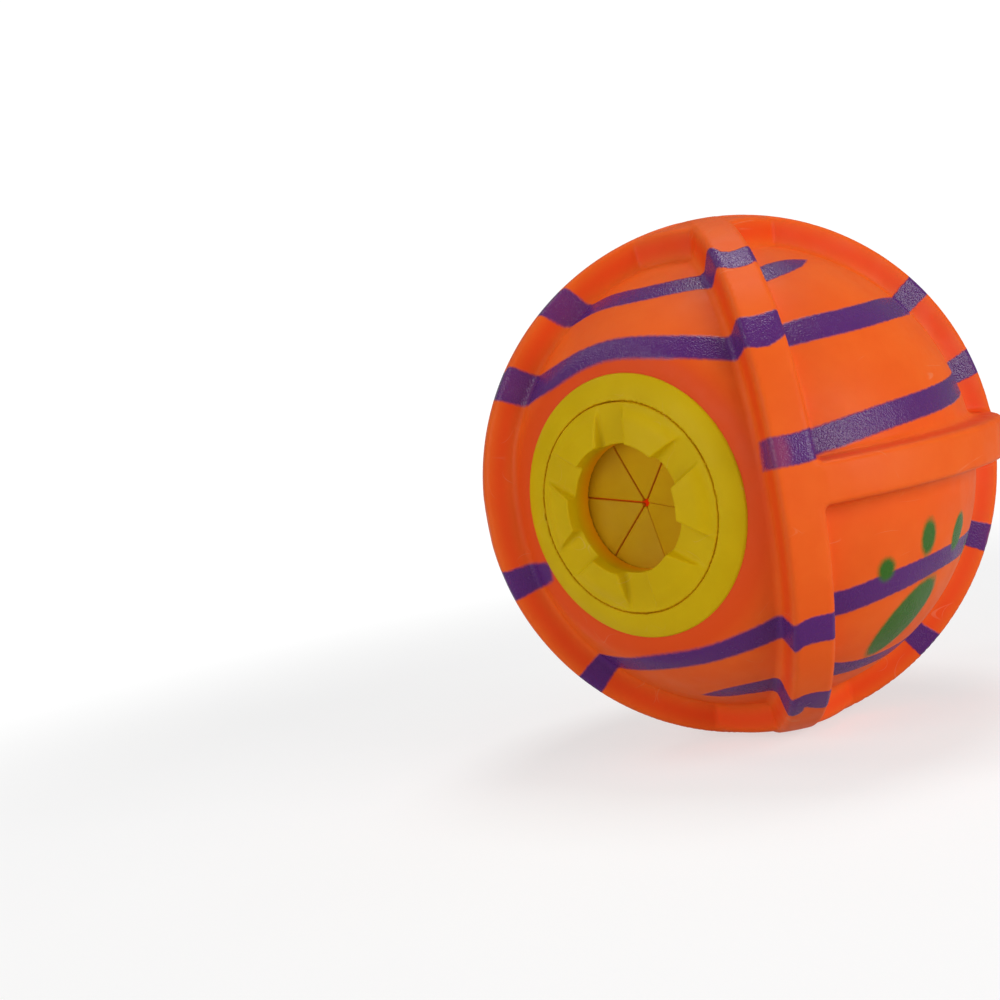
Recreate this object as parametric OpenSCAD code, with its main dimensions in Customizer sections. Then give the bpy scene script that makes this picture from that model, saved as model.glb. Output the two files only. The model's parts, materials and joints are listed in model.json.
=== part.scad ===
// Treat ball: a soft ribbed ball with a twist-out treat mouth closed by a slit iris.
// The origin is the centre of the ball, the poles are on Z and the mouth faces -Y.
// The pieces of the mouth are drawn along +Z, with heights counted from the centre of the
// ball, and mouth_frame() turns them to face -Y.

/* [Ball] */
// Diameter over the crests of the ribs
ball_d = 120; // [112:1:135]
// Height of the ribs above the panels
rib_h = 7; // [5:0.5:9]
// Width of the crest of a rib, with its bevels
crest_w = 8.6; // [7:0.2:10.4]
// How much wider a rib is at its foot than at its crest
rib_flare = 1.8; // [0.6:0.2:2.6]
// Bevel along the edges of a crest
crest_bevel = 0.8; // [0.3:0.1:1.4]
// Wall of the ball between the ribs
shell_wall = 3.5; // [2.5:0.1:4.5]
// Distance from the pole axis to the flat sides of a pole hub
hub_reach = 14.6; // [12.6:0.2:18]
// How far the top of a hub lies below the crests
hub_drop = 0.5; // [0.4:0.1:1]
// Depth of the small flats where two ribs cross, which the ball can stand on
crossing_flat = 0.3; // [0.25:0.05:0.35]

/* [Seat of the mouth] */
// Width of the flat land round the bezel
land_w = 3.6; // [2.8:0.1:4.4]
// Depth of the seat that the bezel drops into
seat_depth = 0.8; // [0.4:0.1:1.4]
// Wall of the ball under the seat
seat_wall = 4; // [3:0.1:5]

/* [Bezel ring] */
// Width of the flange that rests on the ball
flange_w = 3.7; // [3:0.1:4.6]
// Thickness of the flange at its edge
flange_edge = 1.1; // [0.6:0.1:1.6]
// Height of the bezel over its seat
bezel_h = 3.1; // [2.8:0.1:3.6]
// How much the face of the bezel bulges
bezel_bulge = 0.35; // [0.1:0.05:0.6]
// Wall of the neck that goes through the ball
neck_wall = 2; // [1.6:0.1:2.6]
// How far the bead of the neck stands out behind the wall of the ball
bead_h = 1.8; // [1:0.1:2.4]
// Length of the straight part of the bead
bead_l = 1; // [0.6:0.1:1.6]
// Length of the taper that eases the bead through the ball
bead_taper = 1.9; // [1.2:0.1:2.6]
// Thickness of the ledge that the dial turns on
ledge_t = 3; // [2.4:0.1:3.6]

/* [Dial] */
// Diameter of the treat mouth
mouth_d = 28; // [25:0.5:31]
// Depth of the mouth from the face of the dial to the iris
mouth_depth = 4.7; // [4.2:0.1:5.4]
// Thickness of the rim that sits on the ledge
rim_t = 2; // [1.6:0.1:2.4]
// Width of the rim that sits on the ledge
rim_w = 1.8; // [1.4:0.1:2.4]
// Bevel on the edge of the rim
rim_bevel = 0.3; // [0.2:0.1:0.6]
// Wall of the skirt that turns in the bezel
skirt_wall = 2.45; // [1.8:0.05:3]
// Number of finger lobes round the mouth
lobe_count = 6; // [5:1:7]
// Height of the lobes beside the mouth
lobe_h = 2.7; // [1.6:0.1:3.4]
// Height of the lobes at their outer ends
lobe_end_h = 1.4; // [0.8:0.1:1.5]
// Length of the slope at the outer end of a lobe
lobe_end_l = 0.9; // [0.5:0.1:1.4]
// How far the inner face of a lobe leans away from the mouth
lobe_lean = 0.3; // [0.1:0.1:0.8]
// Flat margin of the dial outside the lobes
lobe_margin = 1.5; // [1:0.1:2.4]
// Width of the straight channels between the lobes
channel_w = 7.6; // [6:0.2:9]

/* [Bayonet] */
// Number of lugs
lug_count = 3; // [2:1:3]
// Arc of a lug, in degrees
lug_arc = 30; // [24:1:34]
// How far the dial turns to unlock, in degrees
unlock_turn = 45; // [42:1:50]
// Thickness of a lug
lug_t = 2; // [1.6:0.1:2.6]
// Room beside a lug in its entry slot, in degrees
slot_room = 2; // [1:0.5:3]

/* [Iris] */
// Angle of the first petal about the mouth, in degrees
petal_turn = 19; // [0:1:59]
// Thickness of a petal
petal_t = 1.2; // [0.9:0.1:1.4]
// Diameter of the rolled hinge bead at the root of a petal
root_d = 1.4; // [1.3:0.1:1.6]
// Slope of the petals towards the inside of the ball, in degrees
petal_dish = 10; // [4:1:14]
// Width of the slits between the petals
slit_w = 0.4; // [0.3:0.1:0.6]
// Length cut off the root corners of a petal, so that neighbours pass
root_trim = 0.8; // [0.7:0.1:1.2]
// Radius of the hole where the slits meet
tip_r = 0.8; // [0.7:0.1:1.2]
// Width of the iris flange behind the dial
iris_lip = 4.6; // [4:0.1:5.2]
// Thickness of the iris flange
iris_t = 1.6; // [1.5:0.1:2]
// Thickness of the retaining ring
retainer_t = 1.8; // [1.4:0.1:2.2]
// How much wider the retaining ring's hole is than the mouth, on each side
retainer_gap = 0.5; // [0.3:0.1:1]
// How far the snap lip of the skirt reaches under the retaining ring
snap_h = 0.4; // [0.3:0.05:0.6]
// Thickness of the snap lip
snap_t = 0.6; // [0.5:0.1:1]

/* [Clearances] */
// Radial clearance of the turning dial
turn_fit = 0.08; // [0.04:0.01:0.1]
// Gap of the visible seam round the dial
seam_gap = 0.2; // [0.15:0.05:0.3]
// Play of the lugs under the ledge and between their stops
lug_play = 0.15; // [0.1:0.05:0.3]
// Radial room round the lugs
lug_room = 0.3; // [0.2:0.05:0.5]
// Clearance of pieces that are pushed into each other
push_fit = 0.05; // [0.03:0.01:0.1]
// Gap between the bezel and the soft wall round it
wall_gap = 0.1; // [0.05:0.05:0.2]
// Gap between the hinge bead of a petal and the iris ring
hinge_gap = 0.3; // [0.25:0.05:0.4]

/* [Hidden] */
$fn = 96;

// Radii of the ball
ball_r = ball_d / 2;
panel_r = ball_r - rib_h;
cavity_r = panel_r - shell_wall;

// Radii of the mouth, from the hole outwards
mouth_r = mouth_d / 2;
iris_r = mouth_r + iris_lip;
skirt_r = iris_r + push_fit + skirt_wall;
ledge_r = skirt_r + turn_fit;
dial_r = ledge_r + rim_w;
lobe_r = dial_r - lobe_margin;
seam_r = dial_r + seam_gap;
lug_r = seam_r - lug_room;
stop_r = ledge_r + lug_play;
neck_r = seam_r + neck_wall;
bezel_r = neck_r + flange_w;
bead_r = neck_r + bead_h;
land_r = bezel_r + wall_gap + land_w;

// Heights along the mouth axis, from the centre of the ball
land_at = sqrt(pow(panel_r, 2) - pow(land_r, 2));
seat_at = land_at - seat_depth;
wall_back = seat_at - seat_wall;
face_at = seat_at + bezel_h;
ledge_at = face_at - rim_t;
ledge_back = ledge_at - ledge_t;
lug_at = ledge_back - lug_play;
lug_back = lug_at - lug_t;
bead_at = wall_back - wall_gap;
neck_back = bead_at - bead_l - bead_taper;
iris_at = face_at - mouth_depth;
iris_back = iris_at - iris_t;
retainer_back = iris_back - retainer_t;
snap_at = retainer_back - push_fit;
skirt_back = snap_at - snap_t;

// Iris: the petals hinge on the sides of a polygon
petal_count = 6;
petal_pitch = 360 / petal_count;
half_pitch = petal_pitch / 2;
root_r = root_d / 2;
hinge_r = (mouth_r - push_fit) * cos(half_pitch) - root_r;
frame_apothem = hinge_r + root_r + hinge_gap;

// Bayonet angles
lug_pitch = 360 / lug_count;
slot_arc = lug_arc + 2 * slot_room;
travel_arc = lug_arc + unlock_turn;

// Overlap of shapes that are fused into one piece
weld = 0.5;

// Turns a piece drawn along +Z to face -Y
module mouth_frame() {
    rotate([90, 0, 0])
        children();
}

// Half of the width of a rib at a given radius, from its draft
function rib_half(r) = crest_w / 2 + rib_flare / 2 * (ball_r - r) / rib_h;

// Section of a rib, from its root in the wall to its crest at the radius of the ball
module rib_section(root_r) {
    bevel_r = ball_r - crest_bevel;
    flat = crest_w / 2 - crest_bevel;
    polygon([
        [root_r, -rib_half(root_r)],
        [bevel_r, -rib_half(bevel_r)],
        [ball_r, -flat],
        [ball_r, flat],
        [bevel_r, rib_half(bevel_r)],
        [root_r, rib_half(root_r)]
    ]);
}

// A rib about Z, cut flat where the other ribs cross it; root is its depth in the wall
module rib(root, arc = 360) {
    intersection() {
        rotate_extrude(angle = arc)
            rib_section(panel_r - shell_wall * root);
        cube(2 * (ball_r - crossing_flat), center = true);
    }
}

// Three ribs at right angles, each rooted a little deeper than the one before it.
// Two go through the poles, and the one round the middle stops at them beside the mouth.
module ribs() {
    rotate([0, 0, -45]) {
        rotate([0, 90, 0])
            rib(0.4);
        rotate([90, 0, 0])
            rib(0.5);
        rib(0.6, 270);
    }
}

// Square hubs that fill the corners where the pole ribs cross
module pole_hubs() {
    intersection() {
        sphere(r = ball_r - hub_drop);
        cube([2 * hub_reach, 2 * hub_reach, 2 * ball_r], center = true);
    }
}

// A ball cut flat across the mouth axis
module flat_ball(r, flat_at) {
    mouth_frame()
    intersection() {
        sphere(r = r);
        translate([-r, -r, -r])
            cube([2 * r, 2 * r, r + flat_at]);
    }
}

// Soft ball with three ribs, pole hubs and the seat of the mouth
module ball_shell() {
    color("darkorange")
    difference() {
        union() {
            flat_ball(panel_r, land_at);
            ribs();
            pole_hubs();
        }
        flat_ball(cavity_r, wall_back);
        mouth_frame() {
            translate([0, 0, seat_at])
                cylinder(r = bezel_r + wall_gap, h = ball_r);
            cylinder(r = neck_r + wall_gap, h = ball_r);
        }
    }
}

// Points of the bulged face of the bezel, from its edge to the seam
function bezel_face(steps = 6) = [
    for (i = [0:steps])
        let (t = i / steps)
        [
            bezel_r + (seam_r - bezel_r) * t,
            seat_at + flange_edge + (bezel_h - flange_edge) * t + bezel_bulge * 4 * t * (1 - t)
        ]
];

// An arc of a ring between two radii and two heights, centred on an angle
module ring_arc(r_in, r_out, low, high, arc, at) {
    rotate([0, 0, at - arc / 2])
        rotate_extrude(angle = arc)
            translate([r_in, low])
                square([r_out - r_in, high - low]);
}

// Fixed ring: its flange and bead grip the ball, and its ledge holds the lugs of the dial
module bezel_ring() {
    color("gold")
    mouth_frame() {
        rotate_extrude()
            polygon(concat(bezel_face(), [
                [seam_r, neck_back],
                [neck_r, neck_back],
                [bead_r, bead_at - bead_l],
                [bead_r, bead_at],
                [neck_r, bead_at],
                [neck_r, seat_at],
                [bezel_r, seat_at]
            ]));
        ledges();
        lug_stops();
    }
}

// Arcs of the ledge that the dial sits on, with entry slots for the lugs between them
module ledges() {
    ledge_arc = lug_pitch - slot_arc;
    for (i = [0:lug_count - 1])
        ring_arc(ledge_r, seam_r + weld, ledge_back, ledge_at,
                 ledge_arc, unlock_turn + (i + 0.5) * lug_pitch);
}

// Blocks under the ledge that stop the lugs at both ends of their turn
module lug_stops() {
    play = asin(lug_play / lug_r);
    stop_arc = lug_pitch - travel_arc - 2 * play;
    stop_at = (unlock_turn + lug_pitch) / 2;
    for (i = [0:lug_count - 1])
        ring_arc(stop_r, seam_r + weld, lug_back, ledge_back + weld,
                 stop_arc, stop_at + i * lug_pitch);
}

// Turning dial: finger lobes on its face, bayonet lugs on its skirt, a seat for the iris
module dial() {
    color("goldenrod")
    mouth_frame() {
        difference() {
            rotate_extrude()
                polygon([
                    [mouth_r, iris_at],
                    [mouth_r, face_at],
                    [mouth_r + lobe_lean, face_at + lobe_h],
                    [lobe_r - lobe_end_l, face_at + lobe_end_h],
                    [lobe_r, face_at],
                    [dial_r - rim_bevel, face_at],
                    [dial_r, face_at - rim_bevel],
                    [dial_r, ledge_at],
                    [skirt_r, ledge_at],
                    [skirt_r, skirt_back],
                    [iris_r - snap_h, skirt_back],
                    [iris_r - snap_h, snap_at],
                    [iris_r + push_fit, snap_at],
                    [iris_r + push_fit, iris_at]
                ]);
            lobe_channels();
        }
        for (i = [0:lug_count - 1])
            ring_arc(skirt_r - weld, lug_r, lug_back, lug_at, lug_arc, i * lug_pitch);
    }
}

// Straight channels that part the ring of the lobes
module lobe_channels() {
    for (i = [0:lobe_count - 1])
        rotate([0, 0, (i + 0.5) * 360 / lobe_count])
            translate([0, -channel_w / 2, face_at])
                cube([dial_r, channel_w, lobe_h + weld]);
}

// Flange of the soft iris, with a straight side behind the root of each petal
module iris_ring() {
    color("darkgoldenrod")
    mouth_frame()
    translate([0, 0, iris_back])
        difference() {
            cylinder(r = iris_r, h = iris_t);
            rotate([0, 0, petal_turn + half_pitch])
                translate([0, 0, -weld])
                    cylinder(r = frame_apothem / cos(half_pitch), h = iris_t + 2 * weld,
                             $fn = petal_count);
        }
}

// Ring that snaps into the skirt and clamps the iris against the dial
module iris_retainer() {
    color("khaki")
    mouth_frame()
    translate([0, 0, retainer_back])
        difference() {
            cylinder(r = iris_r, h = retainer_t);
            translate([0, 0, -weld])
                cylinder(r = mouth_r + retainer_gap, h = retainer_t + 2 * weld);
        }
}

// One soft petal, with its hinge bead on the side of the iris ring
module iris_petal(number) {
    side = tan(half_pitch);
    slit_side = slit_w / 2 / cos(half_pitch);
    root_half = hinge_r * side - slit_side - root_trim;
    shoulder_x = 1.5 * root_trim;
    shoulder_half = (hinge_r - shoulder_x) * side - slit_side;
    tip_x = (hinge_r - tip_r) / cos(petal_dish);
    tip_half = tip_r * side - slit_side;
    color("darkgoldenrod")
    mouth_frame()
    rotate([0, 0, petal_turn + (number - 1) * petal_pitch])
        translate([hinge_r, 0, iris_at - root_r])
            rotate([0, -petal_dish, 0]) {
                translate([0, 0, -petal_t / 2])
                    linear_extrude(petal_t)
                        polygon([
                            [0, root_half],
                            [-shoulder_x, shoulder_half],
                            [-tip_x, tip_half],
                            [-tip_x, -tip_half],
                            [-shoulder_x, -shoulder_half],
                            [0, -root_half]
                        ]);
                rotate([90, 0, 0])
                    cylinder(r = root_r, h = 2 * root_half, center = true);
            }
}

ball_shell();
bezel_ring();
dial();
iris_ring();
iris_retainer();
iris_petal(1);  // iris_petal_1
iris_petal(2);  // iris_petal_2
iris_petal(3);  // iris_petal_3
iris_petal(4);  // iris_petal_4
iris_petal(5);  // iris_petal_5
iris_petal(6);  // iris_petal_6
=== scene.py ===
"""Treat ball: painted vinyl with a twist-out treat mouth and a slit iris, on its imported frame."""

import json
import math

import bpy
import numpy as np
from bpy.props import FloatProperty, FloatVectorProperty, PointerProperty
from mathutils import Matrix, Vector


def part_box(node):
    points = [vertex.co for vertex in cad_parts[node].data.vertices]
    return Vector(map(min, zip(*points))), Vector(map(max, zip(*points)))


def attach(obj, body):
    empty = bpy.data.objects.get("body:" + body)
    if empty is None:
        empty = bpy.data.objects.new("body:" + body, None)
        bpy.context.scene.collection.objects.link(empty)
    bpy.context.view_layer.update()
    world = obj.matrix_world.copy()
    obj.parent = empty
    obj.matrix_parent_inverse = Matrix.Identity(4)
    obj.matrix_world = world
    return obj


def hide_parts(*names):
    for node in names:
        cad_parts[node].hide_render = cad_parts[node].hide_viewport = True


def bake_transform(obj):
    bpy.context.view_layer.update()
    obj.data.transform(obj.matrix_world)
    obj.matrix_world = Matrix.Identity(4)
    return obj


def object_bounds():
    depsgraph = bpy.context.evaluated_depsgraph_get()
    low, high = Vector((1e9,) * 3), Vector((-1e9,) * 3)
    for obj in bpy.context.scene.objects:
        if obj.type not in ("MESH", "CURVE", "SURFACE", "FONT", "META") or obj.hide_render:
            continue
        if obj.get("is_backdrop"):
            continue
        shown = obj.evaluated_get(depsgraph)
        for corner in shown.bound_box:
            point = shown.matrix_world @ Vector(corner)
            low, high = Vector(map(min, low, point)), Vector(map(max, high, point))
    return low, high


bl_info = {
    "name": "Treat Ball",
    "version": (1, 0, 0),
    "blender": (4, 5, 0),
    "location": "3D View > Sidebar > Treat Ball",
    "description": "Builds a ribbed vinyl treat ball with a bayonet dial and a slit iris",
    "category": "Add Mesh",
}

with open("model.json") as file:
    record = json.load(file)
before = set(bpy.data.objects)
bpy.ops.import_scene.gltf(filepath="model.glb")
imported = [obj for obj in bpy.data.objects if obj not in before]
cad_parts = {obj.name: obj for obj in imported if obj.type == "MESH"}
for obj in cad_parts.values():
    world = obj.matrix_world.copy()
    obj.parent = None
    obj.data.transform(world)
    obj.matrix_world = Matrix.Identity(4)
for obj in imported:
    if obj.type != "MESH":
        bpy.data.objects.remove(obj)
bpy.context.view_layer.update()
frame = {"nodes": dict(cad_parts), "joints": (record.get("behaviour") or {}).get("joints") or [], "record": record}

MM = 0.001
MOUNTS = {mount["name"]: mount for mount in frame["record"]["mounts"]}
JOINTS = {joint["name"]: joint for joint in frame["joints"]}
LEAF_JOINTS = [name for name in JOINTS if name.startswith("petal_")]
LEAF_PITCH = math.tau / len(LEAF_JOINTS)
LOBE_PITCH = math.tau / 6
LUG_COUNT = 3
LUG_PITCH = math.tau / LUG_COUNT

BALL_R = MOUNTS["rib_hoop"]["dims"]["r_mm"] * MM
MOUTH_R = MOUNTS["treat_mouth"]["dims"]["r_mm"] * MM
FACE_AT = -MOUNTS["treat_mouth"]["pos_m"][1]
BEZEL_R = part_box("bezel_ring")[1].x
NECK_BACK = -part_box("bezel_ring")[1].y
DIAL_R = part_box("dial")[1].x
SKIRT_BACK = -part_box("dial")[1].y
LOBE_TOP = -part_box("dial")[0].y
IRIS_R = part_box("iris_ring")[1].x
IRIS_AT = -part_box("iris_ring")[0].y
IRIS_BACK = -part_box("iris_ring")[1].y
CLAMP_BACK = -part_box("iris_retainer")[1].y
UNLOCK_TURN = math.radians(JOINTS["dial_twist"]["range_deg"][1])

# Meshes: shares by which points are drawn to their neighbours, rounds of settling after each,
# the least slope of a shape, and the steps round a ring and along a leaf
RELAX_SHARES = (0.5, 0.4, 0.3)
SETTLE_ROUNDS = 3
LEAST_SLOPE = 0.5
RING_STEPS = 144
LEAF_STEPS = 36
# Faces of a leaf whose normals lean out of the mouth less than this are walls of its slits
SLIT_WALL = 0.6
# Share of the throat's light that comes through the seam round the dial
SEAM_LIGHT = 0.36

# Painted bands, brushed round the ball by hand: longitude counted from the mouth towards +X,
# latitude and half width, all in degrees on the ball
BANDS = {
    "crown": (
        (-110, 62, 0), (-80, 60, 2.8), (-45, 51.8, 3.3), (-38, 52.8, 3.2), (-20, 57, 3.1),
        (4, 57.5, 3), (31, 57.7, 3), (38.5, 54.9, 2.4), (44.6, 53, 3), (51.5, 54.5, 2.6),
        (64, 57.2, 3), (78, 58.9, 2.3), (92, 59.8, 0),
    ),
    "brow": (
        (-45, 30.5, 3.2), (-38, 31.8, 3.8), (-27, 34.2, 3.5), (-11, 38.9, 2.8), (4, 40.1, 2.75),
        (24, 37, 3.1), (39, 33.6, 3.1), (44.3, 32.5, 3.7), (50, 34.1, 2.8), (58, 35.4, 3.3),
        (76, 36.2, 3.3), (100, 37.3, 3.2), (130, 37, 2.8), (135, 37, 3), (160, 38, 3),
        (190, 36, 3), (225, 33, 4), (260, 35, 3), (290, 33, 3),
    ),
    "waist": (
        (39.4, 7.7, 3.1), (44, 7.6, 3), (48, 7.9, 3), (52, 8.9, 2.9), (56, 9.4, 3),
        (73, 11.3, 2.9), (98, 12.9, 2.9), (128, 15.4, 2.5), (131, 16.2, 2.9), (135, 16.2, 3),
        (150, 18, 3), (175, 16, 2.6), (200, 14, 0),
    ),
    "flank": (
        (-32.2, -14.4, 1.8), (-34, -14.5, 2.6), (-38, -14.8, 3.1), (-45, -14.4, 3.6), (-60, -12, 3),
        (-85, -10, 2.8), (-115, -12, 0),
    ),
    "belly": (
        (-45, -43.2, 3.1), (-38, -43, 3), (-30, -42.4, 2.9), (-10, -41.8, 2.6), (13.5, -39.8, 2.6),
        (32, -35.3, 3.1), (38, -32.8, 2.8), (40.5, -31.4, 2.4), (44.3, -29.8, 3.2), (51, -29.8, 3.4),
        (57, -29.7, 3.4), (72, -27.6, 3.3), (94, -25.3, 2.8), (130, -24.4, 3.1), (165, -26, 3),
        (195, -30, 2.8), (225, -33, 3.9), (255, -36, 3), (285, -40, 3),
    ),
    "foot": (
        (-4, -59.2, 0), (8, -58.6, 2.2), (19, -57.2, 3), (35, -55.7, 3.5), (39.5, -53.4, 1.9),
        (44.2, -51.6, 2.8), (52, -53.4, 3.6), (66, -55.2, 2.9), (83, -55, 2.6), (110, -53, 2.8),
        (127, -52.2, 2.9), (135, -51, 3.2), (160, -50, 2.6), (185, -54, 0),
    ),
}
CLOSED_BANDS = ("brow", "belly")
# Paw marks: the longitudes of their middles, and each print's offset east, latitude, half width,
# half height and lean to the east, in degrees
PAW_SIDES = (90, 270)
PAW_PRINTS = (
    (-22.6, -23.8, 2.4, 3, -10),
    (-8.8, -18.6, 2.6, 4.5, -4),
    (6.2, -20, 2.9, 4.7, 6),
    (21, -26.4, 2.6, 3.6, 14),
    (-9.6, -40.8, 6.2, 12.4, 28),
)
# Half width of the sprayed edge of the paint in degrees, and what is added to it round the mouth,
# with the share of that on the crests and its reach in radii of the mouth's face
SPRAY_EDGE = 0.25
SPRAY_HAZE = 0.6
CREST_HAZE = 0.4
HAZE_REACH = 1.5
# Steps between the knots of a band
BAND_STEPS = 6
# The paint is dull below this height, with a share of its gloss, and gets the rest over a length
DULL_AT = -22 * MM
DULL_FADE = 25 * MM
DULL_SHARE = 0.1
# How far the edges of the paint wander in degrees, how much softer those of the paw marks are,
# its clear coat, and the specks left where it has rubbed off
RAGGED = 0.32
PAW_SOFTNESS = 2.2
COAT = 0.4
SPECKS = 0.35
# Heights of the grain of the vinyl, of what the paint adds to it, and of the drops of the paint
VINYL_GRAIN = 0.55
PAINT_GRAIN = 1.3
DROPS = 6.0
# How strongly the painted bounce light of the panels tints the walls of the ribs
RIB_BOUNCE_TINT = 0.8
# Places where the paint has rubbed thin: longitude, latitude, reach east and north in degrees,
# and amount
RUBBED = (
    (42.4, 7.4, 2, 6, 0.2),
    (-27, -14, 3, 4, 0.7),
    (-38.8, 31.5, 1.8, 5, 0.06),
    (-36.5, 52.5, 3, 5, 0.08),
    (133, -24, 2, 4, 0.4),
    (222, 33, 3, 4, 0.5),
)


def size(label, text, millimetres):
    """A length that a user may change, given in millimetres."""
    return FloatProperty(
        name=label, description=text, default=millimetres * MM, unit="LENGTH", precision=5
    )


def angle(label, text, degrees):
    """An angle that a user may change, given in degrees."""
    return FloatProperty(name=label, description=text, default=math.radians(degrees), unit="ROTATION")


def tint(label, text, colour):
    """A colour that a user may change, in linear light."""
    return FloatVectorProperty(
        name=label, description=text, default=colour, subtype="COLOR", size=3, min=0, max=1
    )


class BallSizes(bpy.types.PropertyGroup):
    """Sizes of the vinyl ball"""

    ball_r: size("Ball radius", "Radius over the crests of the ribs", BALL_R / MM)
    rib_h: size("Rib height", "Height of the ribs above the panels", 7)
    crest_w: size("Crest width", "Width of the crest of a rib", 8.6)
    rib_flare: size("Rib flare", "How much wider a rib is at its foot", 1.8)
    wall: size("Wall", "Wall of the ball between the ribs", 3.5)
    hub_reach: size("Hub reach", "Distance from the pole axis to the sides of a hub", 14.6)
    hub_drop: size("Hub drop", "How far a hub lies below the crests", 0.5)
    hub_foot: size("Hub foot", "Rounding where a hub meets the ribs", 0.4)
    crossing_flat: size("Crossing flat", "Depth of the flats where ribs cross", 0.3)
    crest_round: size("Crest rounding", "Rounding of the edges of a crest", 1.1)
    foot_round: size("Foot rounding", "Rounding where a rib meets a panel", 1.3)
    land_round: size("Land rounding", "Rounding where the panels meet the land of the mouth", 2.2)
    lip_round: size("Lip rounding", "Rounding of the edge of the seat", 0.2)
    land_w: size("Land width", "Width of the flat land round the bezel", 3.6)
    seat_depth: size("Seat depth", "Depth of the seat of the bezel", 0.8)
    seat_wall: size("Seat wall", "Wall of the ball under the seat", 4)
    wall_gap: size("Wall gap", "Gap between the bezel and the soft wall", 0.1)
    lip_hug: size("Lip hug", "How far the soft lip of the seat presses in on the bezel", 1)
    cell: size("Cell", "Size of the mesh cells of the ball", 0.95)


class MouthSizes(bpy.types.PropertyGroup):
    """Sizes of the bezel, the dial and the iris"""

    flange_w: size("Flange width", "Width of the bezel's flange over the ball", 3.7)
    flange_edge: size("Flange edge", "Thickness of the flange at its edge", 1.1)
    bezel_h: size("Bezel height", "Height of the bezel over its seat", 3.1)
    bezel_bulge: size("Bezel bulge", "How much the face of the bezel bulges", 0.35)
    bead_h: size("Bead height", "How far the bead stands out behind the wall", 1.8)
    bead_l: size("Bead length", "Length of the straight part of the bead", 1)
    seam: size("Seam", "Gap of the seam round the dial", 0.16)
    rim_t: size("Rim thickness", "Thickness of the dial's rim on its ledge", 2)
    rim_w: size("Rim width", "Width of the dial's rim on its ledge", 1.8)
    ledge_t: size("Ledge thickness", "Thickness of the ledge in the bezel", 3)
    turn_fit: size("Turning fit", "Clearance of the turning dial", 0.08)
    lobe_lean: size("Lobe lean", "How far a lobe leans away from the mouth", 0.3)
    lobe_margin: size("Lobe margin", "Flat margin of the dial outside the lobes", 1.1)
    lobe_end_h: size("Lobe end height", "Height of a lobe at its outer end", 1.25)
    lobe_end_l: size("Lobe end length", "Length of the slope at the outer end of a lobe", 1.6)
    channel_w: size("Channel width", "Width of the channels at the height of the lobes", 8)
    channel_lean: size("Channel lean", "How far the sides of a channel lean in at its floor", 0.6)
    lug_t: size("Lug thickness", "Thickness of a bayonet lug", 2)
    lug_play: size("Lug play", "Play of the lugs under the ledge", 0.15)
    lug_room: size("Lug room", "Radial room round the lugs", 0.3)
    lug_arc: angle("Lug arc", "Arc of a lug", 30)
    slot_arc: angle("Slot arc", "Arc of an entry slot", 34)
    snap_h: size("Snap lip", "Reach of the snap lip under the clamp ring", 0.4)
    snap_t: size("Snap thickness", "Thickness of the snap lip", 0.6)
    push_fit: size("Push fit", "Clearance of pieces pushed into each other", 0.05)
    clamp_gap: size("Clamp gap", "How much wider the clamp ring's hole is than the mouth", 0.5)
    edge_round: size("Edge rounding", "Rounding of the moulded edges", 0.4)
    seam_round: size("Seam rounding", "Rounding of the edges beside the seam", 0.15)
    lobe_round: size("Lobe rounding", "Rounding of the edges of a lobe", 0.35)
    lobe_foot: size("Lobe foot", "Rounding of a lobe's outer end and of its foot on the dial", 0.7)
    mouth_round: size("Mouth rounding", "Rounding of the edge of the mouth", 0.32)
    flange_round: size("Iris flange rounding", "Rounding of the edges of the iris flange", 0.2)
    leaf_round: size("Leaf rounding", "Rounding of the edges of a leaf", 0.22)
    leaf_lap: size("Leaf lap", "How far the root of a leaf lies behind the dial", 0.6)
    leaf_bend: size("Leaf bend", "How far from its hinge a leaf bends, both ways", 1)
    leaf_fold: size("Leaf fold", "Length over which a leaf turns into its slope", 1.2)
    leaf_t: size("Leaf thickness", "Thickness of an iris leaf", 1.2)
    leaf_dish: angle("Leaf dish", "Slope of the leaves into the ball", 10)
    slit_w: size("Slit width", "Width of the slits between the leaves", 0.32)
    snug: size("Snug slits", "How far the last leaf closes the slits beside it", 0.28)
    tip_r: size("Tip hole", "Radius of the hole where the slits meet", 0.9)
    cell: size("Cell", "Size of the mesh cells of the mouth", 0.42)


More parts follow.
